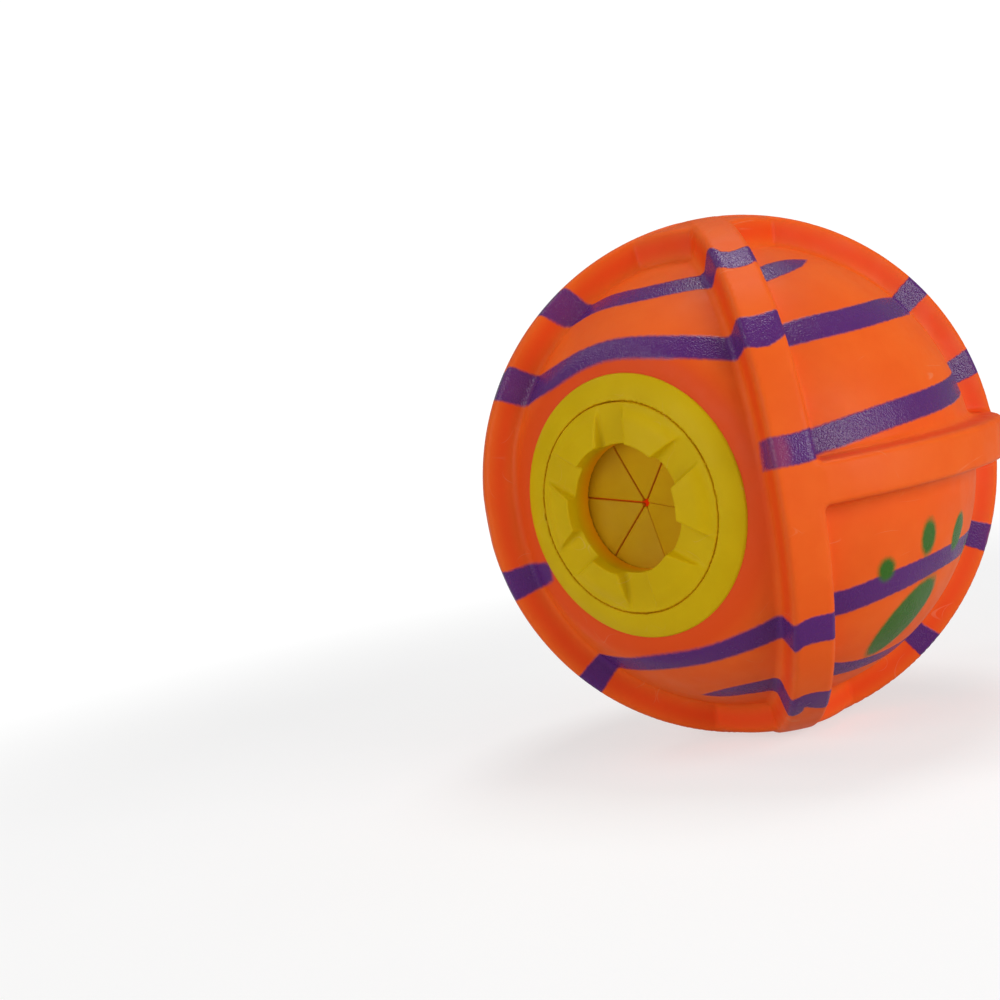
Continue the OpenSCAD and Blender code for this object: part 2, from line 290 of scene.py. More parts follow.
class BallColours(bpy.types.PropertyGroup):
    """Colours of the vinyl, the paint and the mouth"""

    orange: tint("Orange", "Vinyl of the ball", (0.86, 0.125, 0.010))
    deep_orange: tint("Deep orange", "Darker tone of the vinyl", (0.83, 0.108, 0.007))
    # Painted shade: the land round the mouth is given a darker, redder vinyl than the rest of the ball
    land: tint("Land", "Thin vinyl round the mouth", (0.78, 0.074, 0.004))
    # Painted bounce light: the walls of the ribs are given a deeper red, as if lit by the orange panels
    rib_wall: tint("Rib wall", "Walls of the ribs, lit by the panels", (0.84, 0.058, 0.002))
    inside: tint("Inside", "Bare vinyl inside the ball", (0.46, 0.045, 0.003))
    glow: tint("Glow", "Light that comes through the wall of the ball", (0.80, 0.045, 0.002))
    purple: tint("Purple", "Paint of the bands", (0.100, 0.018, 0.160))
    green: tint("Green", "Paint of the paw mark", (0.035, 0.140, 0.010))
    yellow: tint("Yellow", "Plastic of the bezel and the dial", (0.64, 0.43, 0.002))
    deep_yellow: tint("Deep yellow", "Darker tone of the plastic", (0.60, 0.395, 0.001))
    amber: tint("Amber", "Soft iris", (0.57, 0.32, 0.002))
    deep_amber: tint("Deep amber", "Darker tone of the iris", (0.53, 0.28, 0.001))
    # Painted shade and painted glow: deep in the mouth and in the seam the plastic is given a deeper orange and a
    # faint glow
    throat: tint("Throat", "Plastic deep in the mouth, lit from behind", (0.72, 0.27, 0.001))
    slit: tint("Slit", "Light through the walls of the slits", (0.50, 0.16, 0.002))
    scuff: tint("Scuff", "Dull film of handling", (0.80, 0.50, 0.32))
    paper: tint("Paper", "Studio floor", (0.45, 0.45, 0.45))


class StageSettings(bpy.types.PropertyGroup):
    """Camera and lights of the studio"""

    lens: FloatProperty(
        name="Lens", description="Focal length on a 36 mm frame", default=61.67, min=1, unit="CAMERA"
    )
    stand_azimuth: angle("Camera azimuth", "Where the camera stands, from -Y towards +X", 34.18)
    stand_elevation: angle("Camera elevation", "How high the camera stands over the ball", 4.58)
    stand_off: size("Camera distance", "From the centre of the ball to the camera", 403.2)
    view_azimuth: angle("View azimuth", "Where the camera looks from, from -Y towards +X", 42.2)
    view_elevation: angle("View elevation", "How far the camera looks down", 4)
    view_roll: angle("View roll", "How far the right side of the picture is raised", -10.34)
    floor_r: size("Floor radius", "Radius of the round studio floor", 1500)


def settings(kind):
    """One of the groups of settings, as the scene holds it."""
    return getattr(bpy.context.scene, "treat_ball_" + kind)


# Rounded shapes by signed distance, in metres, negative inside


def rounded_union(a, b, r):
    """Both shapes, with the inner corner between them filled by a radius."""
    return np.maximum(r, np.minimum(a, b)) - np.hypot(np.maximum(r - a, 0), np.maximum(r - b, 0))


def rounded_overlap(a, b, r):
    """Where both shapes are, with the outer edge between them rounded by a radius."""
    return -rounded_union(-a, -b, r)


def overlap(*shapes):
    """Where all the shapes are, with sharp edges."""
    return np.maximum.reduce(shapes)


def between(value, low, high):
    """The slab of values from low to high."""
    return np.maximum(low - value, value - high)


def ring(far, out, inner, outer, low, high):
    """A plain ring about the mouth's axis, between two radii and two heights."""
    return np.maximum(between(far, inner, outer), between(out, low, high))


def folded(value, pitch):
    """Offset of a value from the nearest multiple of a pitch."""
    return (value + pitch / 2) % pitch - pitch / 2


def sectors(turn, far, first, count, arc):
    """Equal sectors about an axis, the first one centred at an angle."""
    return (np.abs(folded(turn - first, math.tau / count)) - arc / 2) * far


def mouth_coordinates(points):
    """Radius from the mouth's axis, height along it and angle about it."""
    x, y, z = points.T
    return np.hypot(x, z), -y, np.arctan2(z, x)


def ball_shape(points, ball):
    """The vinyl ball: panels, ribs, hubs and the seat of the mouth."""
    x, y, z = points.T
    far = np.linalg.norm(points, axis=1)
    from_mouth, out, _ = mouth_coordinates(points)
    panel_r = ball.ball_r - ball.rib_h
    seat_r = BEZEL_R + ball.wall_gap
    land_at = math.sqrt(panel_r**2 - (seat_r + ball.land_w) ** 2)
    seat_at = land_at - ball.seat_depth

    across_front = (x + y) / math.sqrt(2)
    across_side = (x - y) / math.sqrt(2)
    draft = ball.rib_flare / 2 / ball.rib_h
    half = ball.crest_w / 2 + draft * (ball.ball_r - far)

    def rib_wall(across):
        return (np.abs(across) - half) / math.hypot(1, draft)

    beside_mouth = np.minimum(across_side, -across_front)
    waist = np.maximum(rib_wall(z), beside_mouth)
    walls = rounded_union(rib_wall(across_front), rib_wall(across_side), ball.foot_round)
    walls = rounded_union(walls, waist, ball.foot_round)
    highest = np.maximum.reduce((np.abs(across_front), np.abs(across_side), np.abs(z)))
    crest = np.maximum(far - ball.ball_r, highest - (ball.ball_r - ball.crossing_flat))
    ribs = rounded_overlap(crest, walls, ball.crest_round)
    hub_walls = np.maximum(np.abs(x), np.abs(y)) - ball.hub_reach
    hubs = rounded_overlap(far - (ball.ball_r - ball.hub_drop), hub_walls, ball.crest_round)
    raised = rounded_union(ribs, hubs, ball.hub_foot)

    skin = rounded_overlap(far - panel_r, out - land_at, ball.land_round)
    solid = rounded_union(skin, raised, ball.foot_round)
    cavity = np.maximum(far - (panel_r - ball.wall), out - (seat_at - ball.seat_wall))
    seat = np.maximum(from_mouth - (seat_r - ball.lip_hug), seat_at - out)
    hole = np.maximum(from_mouth - (BEZEL_R - settings("mouth").flange_w + ball.wall_gap), -out)
    solid = np.maximum(solid, -cavity)
    solid = rounded_overlap(solid, -seat, ball.lip_round)
    return rounded_overlap(solid, -hole, ball.lip_round)


def seam_depth(points, mouth):
    """How much light comes through the walls of the seam round the dial."""
    far, out, _ = mouth_coordinates(points)
    beside = np.abs(far - DIAL_R - mouth.seam / 2) < mouth.seam
    return SEAM_LIGHT * np.clip((FACE_AT - out) / (2 * mouth.seam), 0, 1) * beside


def bezel_shape(points, mouth):
    """The fixed ring: flange, neck, bead, ledges and stops of the bayonet."""
    far, out, turn = mouth_coordinates(points)
    seat_at = FACE_AT - mouth.bezel_h
    seam_r = DIAL_R + mouth.seam
    neck_r = BEZEL_R - mouth.flange_w
    inner = seam_r - far

    width = BEZEL_R - seam_r
    rise = mouth.bezel_h - mouth.flange_edge
    t = (BEZEL_R - far) / width
    face_at = seat_at + mouth.flange_edge + rise * t + mouth.bezel_bulge * 4 * t * (1 - t)
    slope = (rise + mouth.bezel_bulge * 4 * (1 - 2 * t)) / width
    face = (out - face_at) / np.hypot(1, slope)
    flange = rounded_overlap(face, far - BEZEL_R, mouth.edge_round)
    flange = np.maximum(flange, seat_at - out)
    flange = rounded_overlap(flange, inner, mouth.seam_round)

    neck = overlap(far - neck_r, inner, between(out, NECK_BACK, seat_at + mouth.seam))
    ball = settings("sizes")
    bead_at = seat_at - ball.seat_wall - ball.wall_gap
    taper_at = bead_at - mouth.bead_l
    lean = mouth.bead_h / (taper_at - NECK_BACK)
    taper = (far - (neck_r + lean * (out - NECK_BACK))) / math.hypot(1, lean)
    bead = overlap(far - neck_r - mouth.bead_h, taper, inner, between(out, NECK_BACK, bead_at))

    ledge_at = FACE_AT - mouth.rim_t
    ledge_back = ledge_at - mouth.ledge_t
    ledge_r = DIAL_R - mouth.rim_w
    ledges = overlap(
        ring(far, out, ledge_r, seam_r + mouth.seam, ledge_back, ledge_at),
        sectors(turn, far, UNLOCK_TURN + LUG_PITCH / 2, LUG_COUNT, LUG_PITCH - mouth.slot_arc),
    )
    lug_back = ledge_back - mouth.lug_play - mouth.lug_t
    stop_arc = LUG_PITCH - mouth.lug_arc - UNLOCK_TURN - 2 * mouth.lug_play / seam_r
    stop_r = ledge_r + mouth.lug_play
    stops = overlap(
        ring(far, out, stop_r, seam_r + mouth.seam, lug_back, ledge_back + mouth.seam),
        sectors(turn, far, (UNLOCK_TURN + LUG_PITCH) / 2, LUG_COUNT, stop_arc),
    )
    return np.minimum.reduce((flange, neck, bead, ledges, stops))


def dial_shape(points, mouth):
    """The turning dial: finger lobes, rim, skirt, bayonet lugs and the seat of the iris."""
    far, out, turn = mouth_coordinates(points)
    edge = mouth.edge_round
    ledge_at = FACE_AT - mouth.rim_t
    skirt_r = DIAL_R - mouth.rim_w - mouth.turn_fit
    lobe_r = DIAL_R - mouth.lobe_margin
    lobe_h = LOBE_TOP - FACE_AT

    rim = rounded_overlap(far - DIAL_R, out - FACE_AT, mouth.seam_round)
    rim = np.maximum(rim, ledge_at - out)
    height = out - FACE_AT
    end_r = lobe_r - mouth.lobe_end_l
    run, drop = end_r - MOUTH_R - mouth.lobe_lean, lobe_h - mouth.lobe_end_h
    ramp = ((far - end_r) * drop + (height - mouth.lobe_end_h) * run) / math.hypot(drop, run)
    end = (far - lobe_r) * mouth.lobe_end_h + height * mouth.lobe_end_l
    end /= math.hypot(mouth.lobe_end_h, mouth.lobe_end_l)
    off = np.abs(folded(turn, LOBE_PITCH))
    lean = mouth.channel_lean / lobe_h
    half = mouth.channel_w / 2 - lean * (lobe_h - height)
    channels = (far * np.sin(off - LOBE_PITCH / 2) + half) / math.hypot(1, lean)
    lobes = rounded_overlap(rounded_overlap(ramp, end, mouth.lobe_foot), channels, mouth.lobe_round)
    top = rounded_union(rim, np.maximum(lobes, ledge_at - out), mouth.lobe_foot)
    lean = mouth.lobe_lean / lobe_h
    hole = (MOUTH_R + lean * np.maximum(height, 0) - far) / math.hypot(1, lean)
    top = rounded_overlap(top, hole, mouth.mouth_round)

    collar = ring(far, out, MOUTH_R, skirt_r, IRIS_AT, ledge_at + edge)
    skirt = ring(far, out, IRIS_R + mouth.push_fit, skirt_r, SKIRT_BACK, IRIS_AT + edge)
    snap_at = SKIRT_BACK + mouth.snap_t
    snap = ring(far, out, IRIS_R - mouth.snap_h, skirt_r, SKIRT_BACK, snap_at)
    lug_at = ledge_at - mouth.ledge_t - mouth.lug_play
    lug_r = DIAL_R + mouth.seam - mouth.lug_room
    lugs = overlap(
        ring(far, out, skirt_r - edge, lug_r, lug_at - mouth.lug_t, lug_at),
        sectors(turn, far, 0, LUG_COUNT, mouth.lug_arc),
    )
    return np.minimum.reduce((top, collar, skirt, snap, lugs))


def slope_of(shape, points, step=0.02 * MM):
    """The gradient of a shape's distance at points."""
    moves = np.eye(3) * step
    return np.stack([shape(points + m) - shape(points - m) for m in moves], 1) / (2 * step)


def settle(points, shape):
    """Moves points onto a shape's surface."""
    for _ in range(SETTLE_ROUNDS):
        slope = slope_of(shape, points)
        steep = np.maximum((slope**2).sum(1), LEAST_SLOPE**2)
        points = points - (shape(points) / steep)[:, None] * slope
    return points


def relaxed(points, edges, share):
    """Points drawn towards the middle of their neighbours."""
    ends = np.concatenate((edges, edges[:, ::-1]))
    count = np.bincount(ends[:, 0], minlength=len(points))
    middle = np.stack(
        [np.bincount(ends[:, 0], points[ends[:, 1], axis], len(points)) for axis in range(3)], 1
    )
    return points + share * (middle / np.maximum(count, 1)[:, None] - points)


def rows_of(items, name, kind, width):
    """Values of a mesh's vertices or edges, as the rows of an array."""
    values = np.empty(len(items) * width, kind)
    items.foreach_get(name, values)
    return values.reshape(-1, width)


def new_object(name, data):
    """A new object in the scene."""
    obj = bpy.data.objects.new(name, data)
    bpy.context.scene.collection.objects.link(obj)
    return obj


def moulded(name, node, shape, cell):
    """A fine mesh of a rounded shape, grown from the solid of a node and settled on the shape."""
    seed = new_object(name, frame["nodes"][node].data.copy())
    remesh = seed.modifiers.new("Cells", "REMESH")
    remesh.mode = "VOXEL"
    remesh.voxel_size = cell
    bpy.context.view_layer.update()
    mesh = bpy.data.meshes.new_from_object(seed.evaluated_get(bpy.context.evaluated_depsgraph_get()))
    seed.modifiers.clear()
    seed.data = mesh
    mesh.name = name
    mesh.materials.clear()
    edges = rows_of(mesh.edges, "vertices", np.int32, 2)
    points = rows_of(mesh.vertices, "co", np.float32, 3).astype(float)
    for share in RELAX_SHARES:
        points = settle(relaxed(points, edges, share), shape)
    points = settle(points, shape)
    normals = slope_of(shape, points)
    normals /= np.maximum(np.linalg.norm(normals, axis=1), 1e-9)[:, None]
    mesh.vertices.foreach_set("co", points.astype(np.float32).ravel())
    mesh.update()
    mesh.shade_smooth()
    mesh.normals_split_custom_set_from_vertices(normals)
    return seed, points


def lofted(name, rings, ends):
    """An object of rings of as many points each, whose ends are capped, joined or left open."""
    count = len(rings[0])
    points = [tuple(p) for ring in rings for p in ring]
    faces = []
    turns = len(rings) if ends == "joined" else len(rings) - 1
    for i in range(turns):
        a = i * count
        b = (i + 1) % len(rings) * count
        for j in range(count):
            k = (j + 1) % count
            faces.append((a + j, a + k, b + k, b + j))
    if ends == "capped":
        faces.append(tuple(range(count))[::-1])
        faces.append(tuple(range(len(points) - count, len(points))))
    mesh = bpy.data.meshes.new(name)
    mesh.from_pydata(points, [], faces)
    mesh.update()
    return new_object(name, mesh)


def set_value(mesh, name, values):
    """Stores one number for each vertex under a name."""
    attribute = mesh.attributes.new(name, "FLOAT", "POINT")
    attribute.data.foreach_set("value", np.asarray(values, np.float32))


# Paint of the ball


def on_ball(longitude, latitude):
    """Directions from the centre of the ball, from angles in degrees."""
    lon, lat = np.radians(longitude), np.radians(latitude)
    return np.stack((np.sin(lon) * np.cos(lat), -np.cos(lon) * np.cos(lat), np.sin(lat)), -1)


def band_line(knots, closed):
    """Smooth middle line of a band through its knots: directions and half widths in degrees."""
    knots = np.array(knots, float)
    if closed:
        turn = np.array((360, 0, 0))
        knots = np.vstack((knots[-1] - turn, knots, knots[:2] + turn))
    else:
        knots = np.vstack((2 * knots[0] - knots[1], knots, 2 * knots[-1] - knots[-2]))
    t = np.linspace(0, 1, BAND_STEPS, endpoint=False)[:, None]
    line = []
    for a, b, c, d in zip(knots, knots[1:], knots[2:], knots[3:]):
        bend = (2 * a - 5 * b + 4 * c - d) * t**2 + (3 * b - a - 3 * c + d) * t**3
        line.append(b + ((c - a) * t + bend) / 2)
    line.append(knots[-2:-1])
    line = np.vstack(line)
    return on_ball(line[:, 0], line[:, 1]), np.maximum(line[:, 2], 0)


def band_edge(directions, knots, closed):
    """Distance to the edge of a band in degrees, negative on the band."""
    line, half = band_line(knots, closed)
    edge = np.full(len(directions), 180.0)
    for a, b, h, g in zip(line, line[1:], half, half[1:]):
        along = b - a
        t = np.clip((directions - a) @ along / max(along @ along, 1e-12), 0, 1)
        off = np.linalg.norm(directions - a - t[:, None] * along, axis=1)
        edge = np.minimum(edge, np.degrees(off) - (h + (g - h) * t))
    if half[0] > 0 and not closed:
        start = (line[1] - line[0]) / np.linalg.norm(line[1] - line[0])
        edge = np.maximum(edge, np.degrees((line[0] - directions) @ start))
    return edge


def east_of(longitude, start, latitude):
    """Distance to the east of a start on a latitude, in degrees on the ball."""
    return folded(longitude - start, 360) * math.cos(math.radians(latitude))


def paw_edge(longitude, latitude):
    """Distance to the edge of the nearest paw mark in degrees, negative on it."""
    edge = np.full(len(longitude), 180.0)
    for middle in PAW_SIDES:
        for offset, at, half_w, half_h, lean in PAW_PRINTS:
            east, north = east_of(longitude, middle + offset, at), latitude - at
            c, s = math.cos(math.radians(lean)), math.sin(math.radians(lean))
            u, v = (c * east - s * north) / half_w, (s * east + c * north) / half_h
            edge = np.minimum(edge, (np.hypot(u, v) - 1) * min(half_w, half_h))
    return edge


def paint_ball(mesh, points):
    """Stores the distances to the painted edges, their softness, and where paint is thin or dull."""
    far = np.linalg.norm(points, axis=1)
    directions = points / far[:, None]
    latitude = np.degrees(np.arcsin(np.clip(directions[:, 2], -1, 1)))
    longitude = np.degrees(np.arctan2(directions[:, 0], -directions[:, 1]))
    edges = [band_edge(directions, knots, name in CLOSED_BANDS) for name, knots in BANDS.items()]
    set_value(mesh, "band_edge", np.minimum.reduce(edges))
    set_value(mesh, "paw_edge", paw_edge(longitude, latitude))
    rubbed = np.zeros(len(points))
    for lon, lat, reach_east, reach_north, amount in RUBBED:
        east = east_of(longitude, lon, lat) / reach_east
        north = (latitude - lat) / reach_north
        rubbed = np.maximum(rubbed, amount * np.exp(-(np.hypot(east, north) ** 4)))
    set_value(mesh, "rubbed", rubbed)
    # The spray mask stands off the low face round the mouth, so the paint has soft edges there
    ball = settings("sizes")
    from_axis, out, _ = mouth_coordinates(points)
    low = np.clip((ball.ball_r - far) / ball.rib_h, 0, 1)
    face_r = BEZEL_R + ball.land_w + ball.rib_h
    facing = np.clip(HAZE_REACH - from_axis / face_r, 0, 1) * (out > 0)
    haze = SPRAY_HAZE * (CREST_HAZE + (1 - CREST_HAZE) * low) * facing
    set_value(mesh, "softness", SPRAY_EDGE + haze)
    set_value(mesh, "sheen", np.clip((points[:, 2] - DULL_AT) / DULL_FADE, DULL_SHARE, 1))


def light_ball(mesh, points):
    """Stores masks of painted shade on the land round the mouth, of painted bounce light on the walls of the ribs,
    and of the panels, which let light in.
    """
    ball = settings("sizes")
    from_axis, out, _ = mouth_coordinates(points)
    land_r = BEZEL_R + ball.wall_gap + ball.land_w
    # Painted shade on the land round the mouth, fading out over the width of the land
    set_value(mesh, "land", np.clip((land_r - from_axis) / ball.land_w + 1, 0, 1) * (out > 0))
    panel_r = ball.ball_r - ball.rib_h
    far = np.linalg.norm(points, axis=1)
    # Painted bounce light: a mask up the walls of the ribs, strongest halfway up
    up_the_rib = np.clip((far - panel_r) / ball.rib_h, 0, 1)
    set_value(mesh, "rib_wall", np.sin(math.pi * up_the_rib) ** 2)
    over_panel = points * ((panel_r + ball.rib_h / 2) / far)[:, None]
    set_value(mesh, "thin_wall", np.clip(ball_shape(over_panel, ball) / ball.wall + 0.5, 0, 1))


# Node groups and materials


class Nodes:
    """A node tree that is filled from left to right."""

    def __init__(self, tree):
        self.tree = tree
        self.tree.nodes.clear()

    def add(self, kind, options=None, **inputs):
        """A node with its options and inputs."""
        node = self.tree.nodes.new(kind)
        for name, value in (options or {}).items():
            setattr(node, name, value)
        return self.fill(node, **inputs)

    def fill(self, node, **inputs):
        """Links sockets and sets values to inputs, named with _ for a space or by i and a number."""
        for name, value in inputs.items():
            number = name[1:]
            socket = node.inputs[int(number) if number.isdigit() else name.replace("_", " ")]
            if isinstance(value, bpy.types.NodeSocket):
                self.tree.links.new(value, socket)
            else:
                socket.default_value = value
        return node

    def math(self, operation, *values):
        """One step of arithmetic."""
        inputs = {f"i{n}": value for n, value in enumerate(values)}
        return self.add("ShaderNodeMath", {"operation": operation}, **inputs).outputs[0]

    def times(self, a, b):
        """Two numbers multiplied."""
        return self.math("MULTIPLY", a, b)

    def ramp(self, value, low, high, to_low=0.0, to_high=1.0, smooth=True):
        """A value taken from one range to another, and held there."""
        kind = "SMOOTHSTEP" if smooth else "LINEAR"
        node = self.add(
            "ShaderNodeMapRange", {"interpolation_type": kind},
            Value=value, From_Min=low, From_Max=high, To_Min=to_low, To_Max=to_high,
        )
        return node.outputs["Result"]

    def spread(self, value, to_low, to_high, smooth=True):
        """A value from 0 to 1 taken to another range."""
        return self.ramp(value, 0.0, 1.0, to_low, to_high, smooth)

    def mix(self, factor, a, b):
        """Two colours mixed by a factor."""
        return self.add("ShaderNodeMix", {"data_type": "RGBA"}, i0=factor, i6=a, i7=b).outputs[2]

    def bump(self, height, strength, distance):
        """A normal from a height."""
        node = self.add("ShaderNodeBump", Strength=strength, Distance=distance, Height=height)
        return node.outputs[0]

    def noise(self, vector, scale, detail=3.0, roughness=0.5):
        """Soft noise from 0 to 1."""
        node = self.add(
            "ShaderNodeTexNoise", Vector=vector, Scale=scale, Detail=detail, Roughness=roughness
        )
        return node.outputs[0]

    def place(self):
        """The place on the piece, in metres."""
        return self.add("ShaderNodeTexCoord").outputs["Object"]

    def attribute(self, name):
        """A number stored on the mesh."""
        return self.add("ShaderNodeAttribute", {"attribute_name": name}).outputs["Fac"]


def group_tree(name, inputs, outputs):
    """A new node group with number inputs and outputs: its nodes, inputs' sockets and end node."""
    tree = bpy.data.node_groups.new(name, "ShaderNodeTree")
    nodes = Nodes(tree)
    for label, value in inputs.items():
        socket = tree.interface.new_socket(label, in_out="INPUT", socket_type="NodeSocketFloat")
        socket.default_value = value
    for label in outputs:
        tree.interface.new_socket(label, in_out="OUTPUT", socket_type="NodeSocketFloat")
    return nodes, nodes.add("NodeGroupInput").outputs, nodes.add("NodeGroupOutput")


def moulded_grain(name):
    """Grain of a moulded surface: a fine height, a soft cloud of tone and a patchy gloss."""
    nodes, given, end = group_tree(
        name,
        {"Grain Scale": 2500.0, "Cloud Scale": 60.0, "Waviness": 0.3},
        ("Height", "Tone", "Gloss"),
    )
    place = nodes.place()
    fine = nodes.noise(place, given["Grain Scale"], 2.0, 0.6)
    wave = nodes.noise(place, nodes.times(given["Grain Scale"], 0.09), 2.0)
    height = nodes.math("MULTIPLY_ADD", wave, given["Waviness"], fine)
    cloud = nodes.noise(place, given["Cloud Scale"], 4.0, 0.55)
    patches = nodes.noise(place, nodes.times(given["Cloud Scale"], 2.7), 3.0)
    tone, gloss = nodes.ramp(cloud, 0.32, 0.68), nodes.ramp(patches, 0.3, 0.7)
    nodes.fill(end, Height=height, Tone=tone, Gloss=gloss)
    return nodes.tree


def handling_marks(name):
    """Marks of handling: short straight scratches two ways, in a few patches, as a mask."""
    nodes, given, end = group_tree(name, {"Scale": 90.0, "Width": 0.006, "Amount": 0.5}, ("Mask",))
    place = nodes.place()
    lines = []
    for lean in ((0.5, 0.9, 0.3), (1.7, 0.2, 1.1)):
        stretch = nodes.add("ShaderNodeMapping", Vector=place, Rotation=lean, Scale=(1.0, 0.05, 1.0))
        wave = nodes.noise(stretch.outputs[0], given["Scale"], 0.0)
        off = nodes.math("ABSOLUTE", nodes.math("SUBTRACT", wave, 0.5))
        lines.append(nodes.math("LESS_THAN", off, given["Width"]))
    scratch = nodes.math("MAXIMUM", *lines)
    patches = nodes.noise(place, nodes.times(given["Scale"], 0.8), 2.0)
    broken = nodes.times(scratch, nodes.ramp(patches, 0.58, 0.70))
    nodes.fill(end, Mask=nodes.times(broken, given["Amount"]))
    return nodes.tree


# Share of the light that comes through the wall under a rib and under a band, and how far in
# degrees the shade of a band fades
RIB_SHADE = 0.16
BAND_SHADE = 0.35
SHADE_FADE = 1.5
# How far the roughness of a moulding strays, and what a scratch adds to it
ROUGH_SPREAD = 0.05
SCRATCH_ROUGH = 0.3
BLACK = (0, 0, 0, 1)
WHITE = (1, 1, 1, 1)


def rgba(colour, share=1.0):
    """A colour for a node's socket, dimmed to a share of its light."""
    return (*(share * c for c in colour), 1.0)


def new_material(name):
    """A material with a Principled shader: its nodes and the shader."""
    material = bpy.data.materials.new(name)
    material.use_nodes = True
    nodes = Nodes(material.node_tree)
    shader = nodes.add("ShaderNodeBsdfPrincipled")
    nodes.add("ShaderNodeOutputMaterial", Surface=shader.outputs[0])
    return material, nodes, shader


def use_group(nodes, make, **values):
    """A node group in a material, made on its first use, with the material's own values."""
    name = make.__name__.replace("_", " ").capitalize()
    tree = bpy.data.node_groups.get(name) or make(name)
    return nodes.add("ShaderNodeGroup", {"node_tree": tree}, **values).outputs


def painted_vinyl(colours):
    """Soft orange vinyl with sprayed bands and paw marks."""
    material, nodes, shader = new_material("painted_vinyl")
    place = nodes.place()
    grain = use_group(nodes, moulded_grain, Grain_Scale=2600.0, Cloud_Scale=70.0, Waviness=0.5)
    marks = use_group(nodes, handling_marks, Scale=120.0, Width=0.004, Amount=0.14)
    ragged = nodes.spread(nodes.noise(place, 900.0, 3.0, 0.6), -RAGGED, RAGGED, smooth=False)
    solid = nodes.math("SUBTRACT", 1.0, nodes.attribute("rubbed"))
    speckle = nodes.ramp(nodes.noise(place, 1900.0, 2.0), 0.36, 0.52)
    cover = nodes.math("MAXIMUM", solid, nodes.times(speckle, SPECKS))
    soft = nodes.attribute("softness")

    def paint(edge, softer):
        shifted = nodes.math("ADD", nodes.attribute(edge), ragged)
        outside, inside = (nodes.times(soft, side * softer) for side in (1, -1))
        return nodes.times(nodes.ramp(shifted, outside, inside), cover)

    bands, paw = paint("band_edge", 1.0), paint("paw_edge", PAW_SOFTNESS)
    painted = nodes.math("MAXIMUM", bands, paw)
    colour = nodes.mix(grain["Tone"], rgba(colours.deep_orange), rgba(colours.orange))
    layers = (
        # Painted shade on the land round the mouth
        (nodes.attribute("land"), colours.land),
        # Painted bounce light of the panels on the walls of the ribs
        (nodes.times(nodes.attribute("rib_wall"), RIB_BOUNCE_TINT), colours.rib_wall),
        (marks["Mask"], colours.scuff),
        (bands, colours.purple),
        (paw, colours.green),
    )
    for mask, layer in layers:
        colour = nodes.mix(mask, colour, rgba(layer))
    vinyl_gloss = nodes.spread(grain["Gloss"], 0.46, 0.56)
    paint_gloss = nodes.spread(grain["Gloss"], 0.17, 0.29)
    gloss = nodes.add("ShaderNodeMix", i0=painted, i2=vinyl_gloss, i3=paint_gloss)
    rise = nodes.math("MULTIPLY_ADD", painted, PAINT_GRAIN, VINYL_GRAIN)
    drops = nodes.times(nodes.times(nodes.noise(place, 2700.0, 1.0), DROPS), painted)
    height = nodes.math("MULTIPLY_ADD", grain["Height"], rise, drops)
    coat = nodes.times(painted, nodes.attribute("sheen"))
    nodes.fill(
        shader,
        Base_Color=colour,
        Roughness=gloss.outputs[0],
        Normal=nodes.bump(height, 0.35, 0.09 * MM),
        Coat_Weight=nodes.times(coat, COAT),
        Coat_Roughness=0.22,
        Coat_Normal=nodes.bump(drops, 0.35, 0.09 * MM),
        Specular_IOR_Level=0.16,
        Subsurface_Weight=0.10,
        Subsurface_Radius=(1.0, 0.25, 0.08),
        Subsurface_Scale=1.6 * MM,
    )
    return material


def lit_vinyl(colours):
    """Bare inside of the ball, where light comes through the soft wall."""
    material, nodes, shader = new_material("lit_vinyl")
    grain = use_group(nodes, moulded_grain, Grain_Scale=1400.0, Cloud_Scale=45.0, Waviness=0.6)
    band_edge = nodes.attribute("band_edge")
    unpainted = nodes.ramp(band_edge, -SHADE_FADE, SHADE_FADE, BAND_SHADE, 1.0)
    through = nodes.times(nodes.attribute("thin_wall"), unpainted)
    through = nodes.spread(through, RIB_SHADE, 1.0, smooth=False)
    nodes.fill(
        shader,
        Base_Color=nodes.mix(grain["Tone"], rgba(colours.inside, 0.85), rgba(colours.inside)),
        Emission_Color=nodes.mix(through, BLACK, rgba(colours.glow)),
        Emission_Strength=0.45,
        Roughness=nodes.spread(grain["Gloss"], 0.5, 0.65),
        Normal=nodes.bump(grain["Height"], 0.3, 0.1 * MM),
    )
    return material


def lit_slit(colours):
    """Walls of the slits in the iris, where light comes through the thin leaves."""
    material, nodes, shader = new_material("lit_slit")
    grain = use_group(nodes, moulded_grain, Grain_Scale=2800.0, Cloud_Scale=90.0, Waviness=0.35)
    nodes.fill(
        shader,
        Base_Color=nodes.mix(grain["Tone"], rgba(colours.deep_amber), rgba(colours.slit)),
        Emission_Color=rgba(colours.slit),
        Emission_Strength=0.09,
        Roughness=nodes.spread(grain["Gloss"], 0.5, 0.6),
    )
    return material


